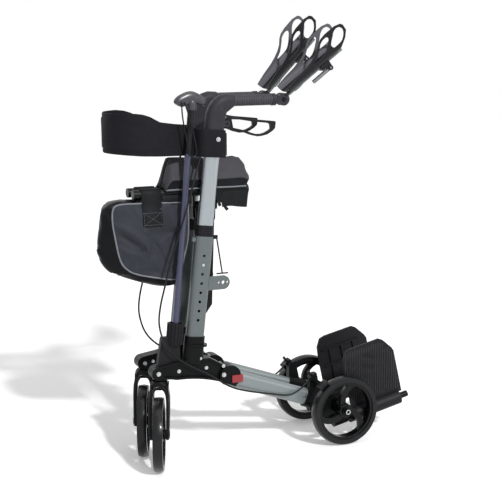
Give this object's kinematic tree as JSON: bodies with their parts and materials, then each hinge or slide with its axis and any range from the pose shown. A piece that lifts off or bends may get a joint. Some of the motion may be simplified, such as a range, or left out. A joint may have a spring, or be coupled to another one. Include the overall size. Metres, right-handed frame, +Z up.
{
  "type": "upright walker",
  "caption": "Side-folding upright walker with forearm troughs, loop brakes, swivel casters, braked rear wheels, folding footrests, seat, bag and a cane.",
  "frame": {"origin": "on the floor under the middle of the folded walker's box", "axes": "+Z up, +X to the rear where the user walks, +Y to the user's right"},
  "size_m": [0.9048, 0.3682, 1.2066],
  "materials": {
    "cast_black": "satin",
    "grey_paint": "satin",
    "satin_aluminium": "satin",
    "black_plastic": "satin",
    "black_steel": "satin",
    "grip_rubber": "matte",
    "tyre": "matte",
    "bright_steel": "satin",
    "red_plastic": "gloss",
    "cable_jacket": "satin",
    "seat_cloth": "woven",
    "bag_cloth": "woven",
    "band_cloth": "matte",
    "strap_webbing": "woven",
    "purple_paint": "gloss"
  },
  "bodies": {
    "left_frame": {"bracket_left": "cast_black", "lower_post_left": "grey_paint", "post_collar_left": "black_plastic", "catch_rod": "black_steel", "rear_leg_left": "grey_paint", "wheel_carrier_left": "cast_black", "cane_cup": "black_plastic", "brake_cable_left": "cable_jacket"},
    "right_frame": {"bracket_right": "cast_black", "lower_post_right": "grey_paint", "post_collar_right": "black_plastic", "rear_leg_right": "grey_paint", "wheel_carrier_right": "cast_black", "brake_cable_right": "cable_jacket"},
    "left_upper": {"upper_post_left": "satin_aluminium", "handle_elbow_left": "black_plastic", "grip_left": "grip_rubber", "back_band": "band_cloth"},
    "right_upper": {"upper_post_right": "satin_aluminium", "handle_elbow_right": "black_plastic", "grip_right": "grip_rubber"},
    "left_rail": {"seat_rail_left": "cast_black", "seat": "seat_cloth", "bag": "bag_cloth"},
    "right_rail": {"seat_rail_right": "cast_black"},
    "brace_pin": {"brace_pin": "bright_steel"},
    "cane": {"cane_shaft": "purple_paint", "cane_handle": "black_plastic", "cane_strap": "strap_webbing"},
    "arm_brace_left": {"cross_arm_left": "cast_black"},
    "armrest_left": {"armrest_rail_left": "cast_black"},
    "trough_left": {"arm_trough_left": "black_plastic", "trough_clamp_left": "black_plastic"},
    "clamp_lever_left": {"clamp_lever_left": "bright_steel"},
    "brake_lever_left": {"brake_lever_left": "cast_black"},
    "brake_shoe_left": {"brake_shoe_left": "black_plastic"},
    "caster_left": {"caster_fork_left": "black_plastic"},
    "front_wheel_left": {"front_rim_left": "black_plastic", "front_tyre_left": "tyre"},
    "rear_wheel_left": {"rear_rim_left": "black_plastic", "rear_tyre_left": "tyre"},
    "footplate_left": {"footplate_left": "black_plastic"},
    "fold_button_left": {"fold_button_left": "red_plastic"},
    "height_pin_left": {"height_pin_left": "bright_steel"},
    "arm_brace_right": {"cross_arm_right": "cast_black"},
    "armrest_right": {"armrest_rail_right": "cast_black"},
    "trough_right": {"arm_trough_right": "black_plastic", "trough_clamp_right": "black_plastic"},
    "clamp_lever_right": {"clamp_lever_right": "bright_steel"},
    "brake_lever_right": {"brake_lever_right": "cast_black"},
    "brake_shoe_right": {"brake_shoe_right": "black_plastic"},
    "caster_right": {"caster_fork_right": "black_plastic"},
    "front_wheel_right": {"front_rim_right": "black_plastic", "front_tyre_right": "tyre"},
    "rear_wheel_right": {"rear_rim_right": "black_plastic", "rear_tyre_right": "tyre"},
    "footplate_right": {"footplate_right": "black_plastic"},
    "fold_button_right": {"fold_button_right": "red_plastic"},
    "height_pin_right": {"height_pin_right": "bright_steel"}
  },
  "joints": [
    {"name": "fold", "type": "slide", "parent": "left_frame", "child": "right_frame", "axis": [0, 1, 0], "range_m": [0, 0.3464], "deforming": ["seat", "bag", "back_band"]},
    {"name": "height", "type": "slide", "parent": "left_frame", "child": "left_upper", "axis": [0.1097, 0, 0.994], "range_m": [-0.1524, 0.0254], "deforming": ["height_pin_left", "height_pin_right", "brake_cable_left", "brake_cable_right"]},
    {"name": "upper_spread", "type": "slide", "parent": "left_upper", "child": "right_upper", "axis": [0, 1, 0], "range_m": [0, 0.3464]},
    {"name": "seat_drop", "type": "slide", "parent": "left_frame", "child": "left_rail", "axis": [0, 0, -1], "range_m": [0, 0.236]},
    {"name": "seat_spread", "type": "slide", "parent": "left_rail", "child": "right_rail", "axis": [0, 1, 0], "range_m": [0, 0.3464]},
    {"name": "brace_centre", "type": "slide", "parent": "left_frame", "child": "brace_pin", "axis": [0, 0.8264, -0.563], "range_m": [0, 0.20959]},
    {"name": "brace_swing_left", "type": "hinge", "parent": "brace_pin", "child": "arm_brace_left", "pos_m": [-0.15045, 0.03265, 0.48], "axis": [-1, 0, 0], "range_deg": [0, 58.4]},
    {"name": "armrest_tilt_left", "type": "hinge", "parent": "left_upper", "child": "armrest_left", "pos_m": [0.05655, -0.02935, 0.983], "axis": [0, -1, 0], "range_deg": [-37, 47]},
    {"name": "trough_slide_left", "type": "slide", "parent": "armrest_left", "child": "trough_left", "axis": [0.7986, 0, 0.6018], "range_m": [0, 0.04]},
    {"name": "clamp_open_left", "type": "hinge", "parent": "trough_left", "child": "clamp_lever_left", "pos_m": [0.19956, -0.02935, 1.06573], "axis": [0, -1, 0], "range_deg": [0, 110]},
    {"name": "brake_left", "type": "hinge", "parent": "left_upper", "child": "brake_lever_left", "pos_m": [-0.10845, -0.02935, 0.922], "axis": [0, -1, 0], "range_deg": [0, 13], "stiffness_Nm_per_rad": 2, "springref_deg": -17.19},
    {"name": "shoe_slide_left", "type": "slide", "parent": "left_frame", "child": "brake_shoe_left", "axis": [0.6428, 0, -0.766], "range_m": [0, 0.0031]},
    {"name": "swivel_left", "type": "hinge", "parent": "left_frame", "child": "caster_left", "pos_m": [-0.30945, -0.03285, 0.24], "axis": [0, 0, 1], "range_deg": [0, 161]},
    {"name": "front_roll_left", "type": "hinge", "parent": "caster_left", "child": "front_wheel_left", "pos_m": [-0.33193, -0.08848, 0.1], "axis": [0.9272, -0.3746, 0], "continuous": true},
    {"name": "rear_roll_left", "type": "hinge", "parent": "left_frame", "child": "rear_wheel_left", "pos_m": [0.22355, -0.09335, 0.1], "axis": [0, 1, 0], "continuous": true},
    {"name": "footplate_fold_left", "type": "hinge", "parent": "left_frame", "child": "footplate_left", "pos_m": [0.25555, -0.05135, 0.066], "axis": [-0.9744, 0, -0.225], "range_deg": [0, 52]},
    {"name": "fold_release_left", "type": "slide", "parent": "left_frame", "child": "fold_button_left", "axis": [0, 1, 0], "range_m": [0, 0.0028], "stiffness_N_per_m": 900, "springref_m": -0.001},
    {"name": "pin_press_left", "type": "slide", "parent": "left_upper", "child": "height_pin_left", "axis": [0, 1, 0], "range_m": [0, 0.005], "stiffness_N_per_m": 900, "springref_m": -0.001},
    {"name": "brace_swing_right", "type": "hinge", "parent": "brace_pin", "child": "arm_brace_right", "pos_m": [-0.15045, 0.03265, 0.48], "axis": [1, 0, 0], "range_deg": [0, 58.4]},
    {"name": "armrest_tilt_right", "type": "hinge", "parent": "right_upper", "child": "armrest_right", "pos_m": [0.05655, 0.09465, 0.983], "axis": [0, -1, 0], "range_deg": [-46, 38]},
    {"name": "trough_slide_right", "type": "slide", "parent": "armrest_right", "child": "trough_right", "axis": [0.6947, 0, 0.7193], "range_m": [0, 0.04]},
    {"name": "clamp_open_right", "type": "hinge", "parent": "trough_right", "child": "clamp_lever_right", "pos_m": [0.18486, 0.09465, 1.08708], "axis": [0, -1, 0], "range_deg": [0, 110]},
    {"name": "brake_right", "type": "hinge", "parent": "right_upper", "child": "brake_lever_right", "pos_m": [-0.10845, 0.09465, 0.922], "axis": [0, -1, 0], "range_deg": [0, 13], "stiffness_Nm_per_rad": 2, "springref_deg": -17.19},
    {"name": "shoe_slide_right", "type": "slide", "parent": "right_frame", "child": "brake_shoe_right", "axis": [0.6428, 0, -0.766], "range_m": [0, 0.0031]},
    {"name": "swivel_right", "type": "hinge", "parent": "right_frame", "child": "caster_right", "pos_m": [-0.30945, 0.09815, 0.24], "axis": [0, 0, 1], "range_deg": [-304, 0]},
    {"name": "front_roll_right", "type": "hinge", "parent": "caster_right", "child": "front_wheel_right", "pos_m": [-0.33193, 0.04252, 0.1], "axis": [0.9272, -0.3746, 0], "continuous": true},
    {"name": "rear_roll_right", "type": "hinge", "parent": "right_frame", "child": "rear_wheel_right", "pos_m": [0.22355, 0.15865, 0.1], "axis": [0, 1, 0], "continuous": true},
    {"name": "footplate_fold_right", "type": "hinge", "parent": "right_frame", "child": "footplate_right", "pos_m": [0.25555, 0.11665, 0.066], "axis": [0.9744, 0, 0.225], "range_deg": [0, 52]},
    {"name": "fold_release_right", "type": "slide", "parent": "right_frame", "child": "fold_button_right", "axis": [0, -1, 0], "range_m": [0, 0.0028], "stiffness_N_per_m": 900, "springref_m": -0.001},
    {"name": "pin_press_right", "type": "slide", "parent": "right_upper", "child": "height_pin_right", "axis": [0, -1, 0], "range_m": [0, 0.005], "stiffness_N_per_m": 900, "springref_m": -0.001},
    {"name": "cane_lift", "type": "slide", "parent": "left_frame", "child": "cane", "axis": [0.0906, 0, 0.9959], "range_m": [0, 0.35]}
  ],
  "couplings": [
    {"joint": "upper_spread", "follows": "fold", "ratio": 1},
    {"joint": "seat_drop", "follows": "fold", "ratio": 0.68129},
    {"joint": "seat_spread", "follows": "fold", "ratio": 1},
    {"joint": "brace_centre", "follows": "fold", "ratio": 0.60501},
    {"joint": "brace_swing_left", "follows": "fold", "rad_per_m": 2.9417},
    {"joint": "shoe_slide_left", "follows": "brake_left", "m_per_rad": 0.013222},
    {"joint": "brace_swing_right", "follows": "fold", "rad_per_m": 2.9417},
    {"joint": "shoe_slide_right", "follows": "brake_right", "m_per_rad": 0.013222}
  ]
}
